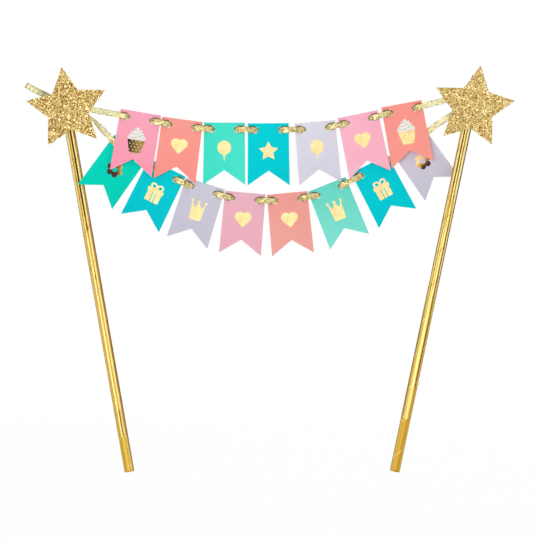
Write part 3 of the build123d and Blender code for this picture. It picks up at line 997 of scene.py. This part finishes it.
def make_sticks(settings):
    """Creased foil round each paper stick."""
    for side, rows, seam_start, seed in STICKS:
        foot, upward, length, radius = stick_frame_of(side)
        shape = bmesh.new()
        bmesh.ops.create_cone(
            shape, cap_ends=False, segments=settings.segments, radius1=radius, radius2=radius, depth=length,
            matrix=Matrix.Translation((0, 0, length / 2)),
        )
        uprights = [edge for edge in shape.edges if abs(edge.verts[0].co.z - edge.verts[1].co.z) > length / 2]
        bmesh.ops.subdivide_edges(shape, edges=uprights, cuts=settings.rings)
        for vertex in shape.verts:
            out = Vector((vertex.co.x, vertex.co.y, 0)).normalized()
            vertex.co -= out * foil_depth(out, vertex.co.z, length, seed, settings.pleat_depth)
        upright = Matrix.Translation(foot) @ Matrix.Rotation(lean_of(upward), 4, "Y")
        bmesh.ops.transform(shape, matrix=upright, verts=shape.verts)
        bmesh.ops.recalc_face_normals(shape, faces=shape.faces)
        finish = stick_finish(f"{side}_stick_foil", settings, foot, upward, rows, seam_start, seed)
        piece = add_piece(f"{side}_stick_foil", shape, finish, "stick_frame", "stick_foil", 50)
        thicken(piece, "foil_thickness", settings.thickness, -1)
        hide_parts(f"{side}_stick_foil_wrap")
        dress(f"{side}_stick_core", paper_roll_finish(settings, foot, upward, f"{side}_rolled_paper"))


# Cards and what is printed on them

def own_row(body, upper, lower):
    """A card's own row in the list of its strand."""
    strand, _, number = body.split("_")
    return (upper if strand == "upper" else lower)[int(number) - 1]


def warp_of(body, settings):
    """How far a place on a card has warped backwards, in metres."""
    bow, curl, twist = own_row(body, UPPER_WARPS, LOWER_WARPS)

    def warp(across, down):
        side, fall = across / CARD_HALF_WIDTH, max(0.0, down / CARD_HANG)
        total = bow * (side * side - 0.4) + curl * fall * fall + twist * side * fall
        return total * settings.warp / 1000

    return warp


def warped_copy(node, joint, warp):
    """A solid of the frame, cut into a net and warped with its card."""
    shape = bmesh.new()
    shape.from_mesh(frame["nodes"][node].data)
    bmesh.ops.remove_doubles(shape, verts=shape.verts, dist=1e-6)
    bmesh.ops.dissolve_limit(shape, angle_limit=math.radians(0.5), verts=shape.verts, edges=shape.edges)
    middle, along = Vector(joint["pos_m"]), Vector(joint["axis"])
    downward = Vector((0, 1, 0)).cross(along)
    if downward.z > 0:
        downward.negate()
    cuts = [(along * step * NET_ACROSS, along) for step in STEPS_ACROSS]
    cuts += [(downward * (step + 0.5) * NET_DOWN, downward) for step in STEPS_DOWN]
    for offset, facing in cuts:
        bmesh.ops.bisect_plane(
            shape, geom=shape.verts[:] + shape.edges[:] + shape.faces[:], plane_co=middle + offset, plane_no=facing
        )
    for vertex in shape.verts:
        spot = vertex.co - middle
        vertex.co.y += warp(spot.dot(along), spot.dot(downward))
    return shape


def card_finish(name, colour, joint, gradient):
    """Smooth dyed card with a fine grain, paler or deeper towards some ends than others."""
    finish = Finish(name, specular=0.03)
    spot = finish.place()
    right, _, up = finish.parts_of(finish.on_card(joint, joint["pos_m"]))
    at_head, at_foot, at_right = gradient
    cloud = finish.grain(spot, 90, 2)
    fibre = finish.grain(spot, 2600, 3, 0.65)
    # Paler or deeper towards the head, the foot and the right, with a random cloud
    paleness = at_head + up * ((at_head - at_foot) / CARD_HANG) + right * (at_right / CARD_HALF_WIDTH)
    paleness = paleness + (cloud - 0.5) * 0.3
    deep, pale = (tuple(channel + step * channel * (1 - channel) for channel in colour) for step in (-0.35, 0.35))
    shade = tuple(max(0.0, channel * 0.965 - 0.004) for channel in colour)
    base = finish.mixed(0.5 + paleness * 0.5, deep, pale)
    base = finish.mixed(fibre.within(0.55, 0.8) * 0.35, base, shade)
    return finish.done(base, 0.5 + fibre * 0.14, fibre, 0.00002, 0.6)


def foil_finish(name, settings, joint, middle, dark_reflection):
    """Pale stamped foil. Some marks get a painted dark reflection, darkest from one corner."""
    finish = Finish(name, 0.25, 0.2)
    spot = finish.on_card(joint, middle)
    right, _, up = finish.parts_of(spot)
    cloud = finish.grain(spot, 260, 2)
    base = finish.mixed(cloud.within(0.35, 0.75) * 0.3, settings.foil, settings.foil_shade)
    if dark_reflection:
        by_right, by_up, at_middle = dark_reflection
        # Painted dark reflection on the foil, darkest from one corner
        tarnish = right * by_right + up * by_up + cloud * 0.4 + at_middle
        base = finish.mixed(tarnish.within(0.0, 0.5), base, settings.foil_shade)
        base = finish.mixed(tarnish.within(0.35, 0.8), base, settings.tarnish)
    fine = finish.grain(spot, 3000, 2)
    base = finish.mixed(fine.within(0.5, 0.8) * 0.2, base, settings.foil_shade)
    return finish.done(base, 0.44 + fine * 0.14, fine, 0.00001)


def icing_finish(name, settings, joint, middle):
    """White icing whose swirl lines sag from shoulder to shoulder and rise to the right."""
    finish = Finish(name, specular=0.2)
    spot = finish.on_card(joint, middle)
    right, _, up = finish.parts_of(spot)
    wobble = finish.grain(spot, 420, 2) - 0.5
    tier = (up - right * SWIRL_RISE - right * right * SWIRL_SAG + wobble * SWIRL_WOBBLE) / SWIRL_TIER
    fold = tier.fraction()
    shadow = (1 - fold.within(0.05, 0.55)) * finish.grain(spot, 700, 1).within(0.30, 0.58)
    line = 1 - abs(fold - 0.12).within(0.03, 0.14)
    base = finish.mixed(shadow * 0.45, settings.icing, settings.icing_line)
    broken_line = line * finish.grain(spot, 560, 1).within(0.40, 0.60)
    base = finish.mixed(broken_line * 0.85, base, settings.icing_line)
    return finish.done(base, 0.45 + finish.grain(spot, 1500) * 0.2, fold, 0.00005)


def wrapper_finish(name, settings, joint, middle, dark_wrapper):
    """Foil cupcake wrapper with staggered rows of small dots, dark on gold or pale on a darker one that brightens to
    the right.
    """
    finish = Finish(name, 0.25, 0.2)
    spot = finish.on_card(joint, middle)
    right, _, up = finish.parts_of(spot)
    cloud = finish.grain(spot, 500, 2)
    base = finish.mixed(cloud.within(0.35, 0.7) * 0.35, settings.foil, settings.foil_shade)
    dot_colour, dot_share = settings.icing_line, 0.28
    if dark_wrapper:
        # The first upper wrapper is darker towards its left
        base = finish.mixed((right * 190 + cloud * 0.6).within(-0.4, 0.9), settings.tarnish, settings.aged_gold)
        dot_colour, dot_share = settings.icing_dot, 0.85
    row = up / DOT_ROW
    column = (right / DOT_COLUMN + row.odd() * 0.5).fraction() - 0.5
    row = row.fraction() - 0.5
    # Square of the distance from a dot's middle, in square millimetres
    reach = column * column * 3.42 + row * row * 2.25
    clear_edge = 1 - abs(right).within(0.0029, 0.0035)
    dot = (1 - reach.within(0.05, 0.13)) * clear_edge
    return finish.done(finish.mixed(dot * dot_share, base, dot_colour), 0.42 + cloud * 0.15, dot, 0.00001)


def make_cards(settings):
    """Fifteen warped cards, each in its own dye."""
    for joint in frame["joints"]:
        body = joint["child"]
        node = next(name for name in frame["record"]["behaviour"]["bodies"][body] if "pennant" in name)
        slot = slot_of(node)
        dye = slot.removeprefix("card_")
        colour = getattr(settings, f"lower_{dye}" if body.startswith("lower") and dye in FADED_DYES else dye)
        finish = card_finish(f"{node}_{slot}", tuple(colour), joint, own_row(body, UPPER_GRADIENTS, LOWER_GRADIENTS))
        shape = warped_copy(node, joint, warp_of(body, settings))
        piece = add_piece(f"{node}_card", shape, finish, body, slot, 30)
        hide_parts(node)


def make_prints(settings, card_settings):
    """Foil marks and cupcakes, warped with their cards."""
    for joint in frame["joints"]:
        body = joint["child"]
        warp = warp_of(body, card_settings)
        for node in frame["record"]["behaviour"]["bodies"][body]:
            if "pennant" in node:
                continue
            middle = middle_of(node)
            if "icing" in node:
                finish = icing_finish(f"{node}_icing", settings, joint, middle)
            elif "wrapper" in node:
                finish = wrapper_finish(f"{node}_foil", settings, joint, middle, node.endswith("_1"))
            else:
                finish = foil_finish(f"{node}_foil", settings, joint, middle, DARK_REFLECTIONS.get(body))
            shape = warped_copy(node, joint, warp)
            piece = add_piece(f"{node}_print", shape, finish, body, slot_of(node), 30)
            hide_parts(node)


def make_glue(settings):
    """Cloudy set glue behind each star."""
    finish = Finish("set_glue")
    finish.set("Transmission Weight", 0.25)
    cloud = finish.grain(finish.place(), 420, 3)
    finish.done(finish.mixed(cloud, settings.glue, (0.82, 0.78, 0.68)), 0.15 + cloud * 0.25, cloud, 0.0002)
    for side in ("left", "right"):
        dress(f"{side}_star_glue", finish)


class TOPPER_OT_stage(bpy.types.Operator):
    """Set up the camera, the light and the floor"""

    bl_idname = "topper.stage"
    bl_label = "Make stage"

    def execute(self, context):
        make_stage(context.scene.topper_stage)
        return {"FINISHED"}


class TOPPER_OT_ribbons(bpy.types.Operator):
    """Weave the two metallic ribbons through the cards"""

    bl_idname = "topper.ribbons"
    bl_label = "Make ribbons"

    def execute(self, context):
        make_ribbons(context.scene.topper_ribbon)
        return {"FINISHED"}


class TOPPER_OT_stars(bpy.types.Operator):
    """Coat both stars with glitter flakes"""

    bl_idname = "topper.stars"
    bl_label = "Make glitter stars"

    def execute(self, context):
        make_stars(context.scene.topper_star)
        return {"FINISHED"}


class TOPPER_OT_sticks(bpy.types.Operator):
    """Wrap both sticks in creased gold foil"""

    bl_idname = "topper.sticks"
    bl_label = "Make foil sticks"

    def execute(self, context):
        make_sticks(context.scene.topper_stick)
        return {"FINISHED"}


class TOPPER_OT_cards(bpy.types.Operator):
    """Cut the fifteen pennant cards"""

    bl_idname = "topper.cards"
    bl_label = "Make cards"

    def execute(self, context):
        make_cards(context.scene.topper_card)
        return {"FINISHED"}


class TOPPER_OT_prints(bpy.types.Operator):
    """Stamp the foil marks and the cupcakes on the cards"""

    bl_idname = "topper.prints"
    bl_label = "Make prints"

    def execute(self, context):
        make_prints(context.scene.topper_print, context.scene.topper_card)
        return {"FINISHED"}


class TOPPER_OT_glue(bpy.types.Operator):
    """Set the glue behind the stars"""

    bl_idname = "topper.glue"
    bl_label = "Make glue"

    def execute(self, context):
        make_glue(context.scene.topper_print)
        return {"FINISHED"}


SETTINGS = {
    "topper_stage": StageSettings,
    "topper_ribbon": RibbonSettings,
    "topper_star": StarSettings,
    "topper_stick": StickSettings,
    "topper_card": CardSettings,
    "topper_print": PrintSettings,
}
OPERATORS = (
    TOPPER_OT_stage, TOPPER_OT_ribbons, TOPPER_OT_stars, TOPPER_OT_sticks,
    TOPPER_OT_cards, TOPPER_OT_prints, TOPPER_OT_glue,
)


class TOPPER_PT_panel(bpy.types.Panel):
    """Settings and steps of the topper"""

    bl_idname = "TOPPER_PT_panel"
    bl_label = "Pennant cake topper"
    bl_space_type = "VIEW_3D"
    bl_region_type = "UI"
    bl_category = "Topper"

    def draw(self, context):
        for operator in OPERATORS:
            self.layout.operator(operator.bl_idname)
        for name, group in SETTINGS.items():
            box = self.layout.box()
            box.label(text=group.__doc__)
            for key in group.__annotations__:
                box.prop(getattr(context.scene, name), key)


def register():
    for group in SETTINGS.values():
        bpy.utils.register_class(group)
    for name, group in SETTINGS.items():
        setattr(bpy.types.Scene, name, PointerProperty(type=group))
    for operator in OPERATORS:
        bpy.utils.register_class(operator)
    bpy.utils.register_class(TOPPER_PT_panel)


def unregister():
    bpy.utils.unregister_class(TOPPER_PT_panel)
    for operator in reversed(OPERATORS):
        bpy.utils.unregister_class(operator)
    for name, group in SETTINGS.items():
        delattr(bpy.types.Scene, name)
        bpy.utils.unregister_class(group)


def main():
    register()
    bpy.ops.topper.stage()
    bpy.ops.topper.ribbons()
    bpy.ops.topper.stars()
    bpy.ops.topper.sticks()
    bpy.ops.topper.cards()
    bpy.ops.topper.prints()
    bpy.ops.topper.glue()


if __name__ == "__main__":
    main()
